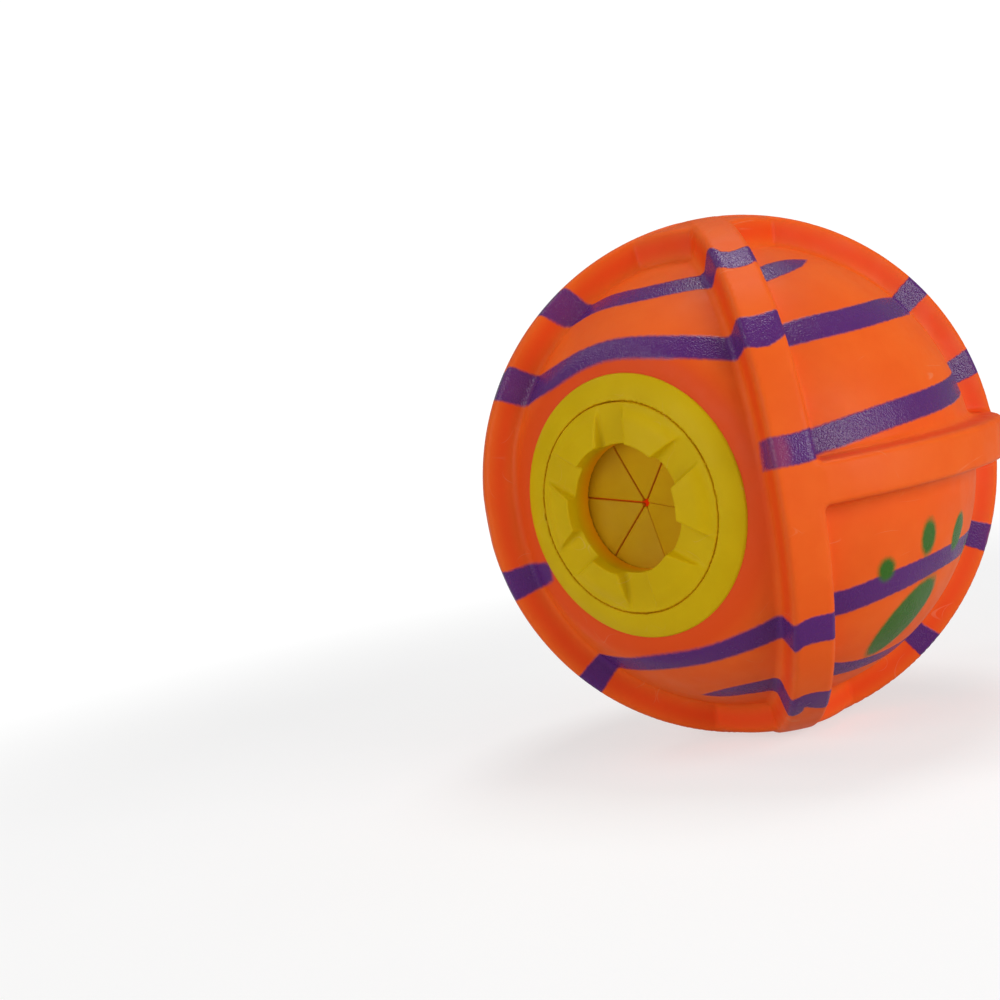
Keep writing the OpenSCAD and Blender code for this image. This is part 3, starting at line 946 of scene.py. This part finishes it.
def moulding(name, colours, light, deep, rough, grain_scale):
    """A moulded plastic or elastomer of one colour, with grain, tone and marks of handling, and painted shade and
    glow deep in the mouth.
    """
    material, nodes, shader = new_material(name)
    grain = use_group(nodes, moulded_grain, Grain_Scale=grain_scale, Cloud_Scale=90.0, Waviness=0.35)
    marks = use_group(nodes, handling_marks, Scale=160.0, Width=0.005, Amount=0.12)
    # Painted shade and painted glow deep in the mouth and in the seam, from a stored mask
    throat = nodes.attribute("throat")
    colour = nodes.mix(grain["Tone"], rgba(deep), rgba(light))
    colour = nodes.mix(throat, colour, rgba(colours.throat))
    gloss = nodes.spread(grain["Gloss"], rough - ROUGH_SPREAD, rough + ROUGH_SPREAD)
    nodes.fill(
        shader,
        Base_Color=nodes.mix(marks["Mask"], colour, rgba(colours.scuff)),
        Roughness=nodes.math("MULTIPLY_ADD", marks["Mask"], SCRATCH_ROUGH, gloss),
        Normal=nodes.bump(grain["Height"], 0.28, 0.07 * MM),
        Specular_IOR_Level=0.08,
        Subsurface_Weight=0.15,
        Subsurface_Radius=(1.0, 0.6, 0.05),
        Subsurface_Scale=0.9 * MM,
        Emission_Color=nodes.mix(throat, BLACK, rgba(colours.throat)),
        Emission_Strength=0.14,
    )
    return material


def moulded_plastic(colours):
    """Yellow plastic of the bezel, the dial and the clamp ring."""
    return moulding("moulded_plastic", colours, colours.yellow, colours.deep_yellow, 0.46, 3200.0)


def soft_iris(colours):
    """Amber elastomer of the iris."""
    return moulding("soft_iris", colours, colours.amber, colours.deep_amber, 0.52, 2800.0)


def finish_of(make):
    """One of the ball's materials, made on its first use."""
    return bpy.data.materials.get(make.__name__) or make(settings("colours"))


class TREATBALL_OT_shell(bpy.types.Operator):
    """Builds the ribbed vinyl ball with its painted bands"""

    bl_idname = "treat_ball.shell"
    bl_label = "Vinyl Ball"

    def execute(self, context):
        ball = settings("sizes")
        obj, points = moulded("vinyl_ball", "ball_shell", lambda p: ball_shape(p, ball), ball.cell)
        mesh = obj.data
        paint_ball(mesh, points)
        light_ball(mesh, points)
        mesh.materials.append(finish_of(painted_vinyl))
        mesh.materials.append(finish_of(lit_vinyl))
        inside_r = ball.ball_r - ball.rib_h - ball.wall / 2
        for face in mesh.polygons:
            middle = face.center
            if middle.length < inside_r and face.normal.dot(middle) < 0:
                face.material_index = 1
        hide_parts("ball_shell")
        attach(obj, "ball")
        return {"FINISHED"}


class TREATBALL_OT_bezel(bpy.types.Operator):
    """Builds the fixed ring that holds the dial in the ball"""

    bl_idname = "treat_ball.bezel"
    bl_label = "Bezel Ring"

    def execute(self, context):
        mouth = settings("mouth")
        obj, points = moulded("bezel", "bezel_ring", lambda p: bezel_shape(p, mouth), mouth.cell)
        # Painted light in the seam round the dial
        set_value(obj.data, "throat", seam_depth(points, mouth))
        obj.data.materials.append(finish_of(moulded_plastic))
        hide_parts("bezel_ring")
        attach(obj, "ball")
        return {"FINISHED"}


class TREATBALL_OT_dial(bpy.types.Operator):
    """Builds the turning dial with its finger lobes"""

    bl_idname = "treat_ball.dial"
    bl_label = "Finger Dial"

    def execute(self, context):
        mouth = settings("mouth")
        obj, points = moulded("finger_dial", "dial", lambda p: dial_shape(p, mouth), mouth.cell)
        far, out, _ = mouth_coordinates(points)
        # Painted shade and painted glow, stronger the deeper the wall of the mouth lies towards the iris
        deep = np.clip((FACE_AT - out) / (FACE_AT - IRIS_AT), 0, 1)
        deep *= far < MOUTH_R + mouth.turn_fit
        set_value(obj.data, "throat", np.maximum(deep, seam_depth(points, mouth)))
        obj.data.materials.append(finish_of(moulded_plastic))
        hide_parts("dial")
        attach(obj, "dial")
        return {"FINISHED"}


def from_mouth(points, turn=0.0):
    """Points given as across, along and out of the mouth, turned about its axis, in the frame."""
    return [Matrix.Rotation(-turn, 3, "Y") @ Vector((u, -out, v)) for u, v, out in points]


def rounded_section(left, right, low, high, r, steps=4):
    """Points round a rectangle with rounded corners."""
    points = []
    for k, (x, y) in enumerate(((right, high), (left, high), (left, low), (right, low))):
        cx = x - r if x == right else x + r
        cy = y - r if y == high else y + r
        for i in range(steps + 1):
            a = (k + i / steps) * math.pi / 2
            points.append((cx + r * math.cos(a), cy + r * math.sin(a)))
    return points


def turned(name, section_at):
    """A ring turned about the mouth's axis, from its section at each turn."""
    turns = [math.tau * i / RING_STEPS for i in range(RING_STEPS)]
    rings = [from_mouth([(u, 0, out) for u, out in section_at(turn)], turn) for turn in turns]
    obj = lofted(name, rings, "joined")
    obj.data.shade_smooth()
    return obj


class TREATBALL_OT_leaves(bpy.types.Operator):
    """Builds the soft leaves of the iris"""

    bl_idname = "treat_ball.leaves"
    bl_label = "Iris Leaves"

    def execute(self, context):
        mouth = settings("mouth")
        for name in LEAF_JOINTS:
            joint = JOINTS[name]
            x, y, z = joint["pos_m"]
            turn, hinge_r = math.atan2(z, x), math.hypot(x, z)
            body = joint["child"]
            snug = mouth.snug if name == LEAF_JOINTS[-1] else 0
            rings = self.rings(mouth, turn, hinge_r, snug)
            obj = lofted("iris_leaf_" + body.split("_")[1], rings, "capped")
            obj.data.shade_smooth()
            obj.data.materials.append(finish_of(soft_iris))
            obj.data.materials.append(finish_of(lit_slit))
            for face in obj.data.polygons:
                face.material_index = int(abs(face.normal.y) < SLIT_WALL)
            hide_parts("iris_" + body)
            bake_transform(obj)
        return {"FINISHED"}

    def rings(self, mouth, turn, hinge_r, snug):
        """Sections of a leaf from its root to its tip, wider by the snugness of its slits."""
        side = math.tan(LEAF_PITCH / 2)
        slit = (mouth.slit_w / 2 - snug) / math.cos(LEAF_PITCH / 2)
        root = MOUTH_R + mouth.leaf_lap
        rings = []
        for i in range(LEAF_STEPS + 1):
            u = root + (mouth.tip_r - root) * i / LEAF_STEPS
            half = u * side - slit
            reach = hinge_r + mouth.leaf_fold / 2 - u
            drop = math.tan(mouth.leaf_dish) * (reach + math.hypot(reach, mouth.leaf_fold)) / 2
            top = IRIS_AT - mouth.push_fit - drop
            edge = min(mouth.leaf_round, half * 0.6)
            section = rounded_section(-half, half, top - mouth.leaf_t, top, edge)
            rings.append(from_mouth([(u, v, out) for v, out in section], turn))
        return rings


class TREATBALL_OT_flange(bpy.types.Operator):
    """Builds the flange of the iris, which the dial and the clamp ring hold"""

    bl_idname = "treat_ball.flange"
    bl_label = "Iris Flange"

    def execute(self, context):
        mouth = settings("mouth")
        x, _, z = JOINTS[LEAF_JOINTS[0]]["pos_m"]
        first = math.atan2(z, x)
        low, high = IRIS_BACK + mouth.push_fit, IRIS_AT - mouth.push_fit

        def section_at(turn):
            inner = (MOUTH_R + mouth.leaf_lap) / math.cos(folded(turn - first, LEAF_PITCH))
            return rounded_section(inner, IRIS_R, low, high, mouth.flange_round)

        obj = turned("iris_flange", section_at)
        obj.data.materials.append(finish_of(soft_iris))
        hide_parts("iris_ring")
        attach(obj, "dial")
        return {"FINISHED"}


class TREATBALL_OT_clamp(bpy.types.Operator):
    """Builds the ring that snaps into the dial and clamps the iris"""

    bl_idname = "treat_ball.clamp"
    bl_label = "Clamp Ring"

    def execute(self, context):
        mouth = settings("mouth")
        inner = MOUTH_R + mouth.clamp_gap
        section = rounded_section(inner, IRIS_R, CLAMP_BACK, IRIS_BACK, mouth.edge_round)
        obj = turned("clamp_ring", lambda turn: section)
        obj.data.materials.append(finish_of(moulded_plastic))
        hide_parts("iris_retainer")
        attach(obj, "dial")
        return {"FINISHED"}


# Strengths of the white round the ball, as the camera sees it and as light
WHITE_SEEN = 1.05
WORLD_LIGHT = 0.2
FAR_LIGHT = 0.5
PAPER_SEEN = 0.58
PAPER_LIGHT = 0.2
# Shares of the floor's radius where the paper starts and ends its change to white
PAPER_FADE = (0.12, 0.28)
FLOOR_HOLE = 0.01 * MM
FLOOR_RINGS = 12
FLOOR_STEPS = 96
# Softboxes: azimuth and elevation in degrees, distance and width in metres, and power in watts
SOFTBOXES = {
    "key_softbox": (86, 12, 0.75, 0.45, 3.5),
    "fill_softbox": (-14, 15, 0.85, 0.5, 2.6),
    "side_softbox": (-67, 48, 0.8, 0.2, 0.5),
    "top_softbox": (180, 76, 0.8, 0.35, 2.3),
}
FRAME_W = 36
NEAR_CLIP = 10 * MM


def studio_paper(colours, radius):
    """White paper that melts into the background away from the ball."""
    material, nodes, shader = new_material("studio_paper")
    grain = use_group(nodes, moulded_grain, Grain_Scale=900.0, Cloud_Scale=8.0, Waviness=0.4)
    seen = nodes.add("ShaderNodeLightPath").outputs["Is Camera Ray"]
    nodes.fill(
        shader,
        Base_Color=nodes.mix(grain["Tone"], rgba(colours.paper, 0.98), rgba(colours.paper)),
        Roughness=nodes.spread(grain["Gloss"], 0.75, 0.85),
        Specular_IOR_Level=0.1,
        Emission_Color=WHITE,
        Emission_Strength=nodes.spread(seen, PAPER_LIGHT, PAPER_SEEN, smooth=False),
    )
    away = nodes.add("ShaderNodeVectorMath", {"operation": "LENGTH"}, i0=nodes.place())
    near, far = PAPER_FADE
    fade = nodes.ramp(away.outputs["Value"], near * radius, far * radius)
    strength = nodes.spread(seen, FAR_LIGHT, WHITE_SEEN, smooth=False)
    glow = nodes.add("ShaderNodeEmission", Color=WHITE, Strength=strength)
    both = nodes.add("ShaderNodeMixShader", i0=fade, i1=shader.outputs[0], i2=glow.outputs[0])
    nodes.fill(nodes.tree.nodes["Material Output"], Surface=both.outputs[0])
    return material


def polar(azimuth, elevation, distance):
    """A point round the ball, by azimuth from -Y towards +X and elevation."""
    level = math.cos(elevation)
    direction = math.sin(azimuth) * level, -math.cos(azimuth) * level, math.sin(elevation)
    return distance * Vector(direction)


class TREATBALL_OT_stage(bpy.types.Operator):
    """Builds the studio floor, the lights and the camera"""

    bl_idname = "treat_ball.stage"
    bl_label = "Studio Stage"

    def execute(self, context):
        stage = settings("stage")
        self.floor(stage)
        self.background()
        for name, values in SOFTBOXES.items():
            self.softbox(name, *values)
        self.camera(stage)
        context.scene.view_settings.view_transform = "Standard"
        return {"FINISHED"}

    def floor(self, stage):
        """A round floor under the ball, in rings that keep its faces small near the ball."""
        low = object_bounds()[0].z
        # The angles run clockwise, so that the faces look up
        angles = np.linspace(math.tau, 0, FLOOR_STEPS, endpoint=False)
        rings = []
        for i in range(FLOOR_RINGS + 1):
            r = stage.floor_r * (i / FLOOR_RINGS) ** 2 + FLOOR_HOLE
            rings.append([(r * math.cos(a), r * math.sin(a), 0) for a in angles])
        floor = lofted("studio_floor", rings, "open")
        floor.location = (0, 0, low)
        floor.data.materials.append(studio_paper(settings("colours"), stage.floor_r))
        floor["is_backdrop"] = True

    def background(self):
        """A white background for the camera, and a softer white as light."""
        world = bpy.data.worlds.new("studio_white")
        world.use_nodes = True
        nodes = Nodes(world.node_tree)
        seen = nodes.add("ShaderNodeBackground", Color=WHITE, Strength=WHITE_SEEN)
        light = nodes.add("ShaderNodeBackground", Color=WHITE, Strength=WORLD_LIGHT)
        camera = nodes.add("ShaderNodeLightPath").outputs["Is Camera Ray"]
        both = nodes.add("ShaderNodeMixShader", i0=camera, i1=light.outputs[0], i2=seen.outputs[0])
        nodes.add("ShaderNodeOutputWorld", Surface=both.outputs[0])
        bpy.context.scene.world = world

    def softbox(self, name, azimuth, elevation, distance, width, power):
        """A square area light that faces the ball."""
        light = bpy.data.lights.new(name, "AREA")
        light.shape = "SQUARE"
        light.size = width
        light.energy = power
        place = polar(math.radians(azimuth), math.radians(elevation), distance)
        turn = (-place).to_track_quat("-Z", "Y")
        new_object(name, light).matrix_world = Matrix.LocRotScale(place, turn, None)

    def camera(self, stage):
        """The camera at the photograph's view, rolled as it was held."""
        data = bpy.data.cameras.new("camera")
        data.lens = stage.lens
        data.sensor_width = FRAME_W
        data.clip_start = NEAR_CLIP
        camera = new_object("camera", data)
        forward = -polar(stage.view_azimuth, stage.view_elevation, 1)
        level = forward.cross(Vector((0, 0, 1))).normalized()
        above = level.cross(forward)
        right = math.cos(stage.view_roll) * level + math.sin(stage.view_roll) * above
        turn = Matrix((right, right.cross(forward), -forward)).transposed()
        place = polar(stage.stand_azimuth, stage.stand_elevation, stage.stand_off)
        camera.matrix_world = Matrix.Translation(place) @ turn.to_4x4()
        bpy.context.scene.camera = camera


class TREATBALL_PT_panel(bpy.types.Panel):
    """Lists the pieces of the treat ball and their settings"""

    bl_label = "Treat Ball"
    bl_idname = "TREATBALL_PT_panel"
    bl_space_type = "VIEW_3D"
    bl_region_type = "UI"
    bl_category = "Treat Ball"

    def draw(self, context):
        for operator in OPERATORS:
            self.layout.operator(operator.bl_idname)
        for name, group in GROUPS.items():
            box = self.layout.box()
            for label in group.__annotations__:
                box.prop(getattr(context.scene, name), label)


GROUPS = {
    "treat_ball_sizes": BallSizes,
    "treat_ball_mouth": MouthSizes,
    "treat_ball_colours": BallColours,
    "treat_ball_stage": StageSettings,
}
OPERATORS = (
    TREATBALL_OT_shell,
    TREATBALL_OT_bezel,
    TREATBALL_OT_dial,
    TREATBALL_OT_leaves,
    TREATBALL_OT_flange,
    TREATBALL_OT_clamp,
    TREATBALL_OT_stage,
)
CLASSES = (*GROUPS.values(), *OPERATORS, TREATBALL_PT_panel)


def register():
    for cls in CLASSES:
        bpy.utils.register_class(cls)
    for name, group in GROUPS.items():
        setattr(bpy.types.Scene, name, PointerProperty(type=group))


def unregister():
    for name in GROUPS:
        delattr(bpy.types.Scene, name)
    for cls in reversed(CLASSES):
        bpy.utils.unregister_class(cls)


def main():
    register()
    bpy.ops.treat_ball.shell()
    bpy.ops.treat_ball.bezel()
    bpy.ops.treat_ball.dial()
    bpy.ops.treat_ball.leaves()
    bpy.ops.treat_ball.flange()
    bpy.ops.treat_ball.clamp()
    bpy.ops.treat_ball.stage()


if __name__ == "__main__":
    main()
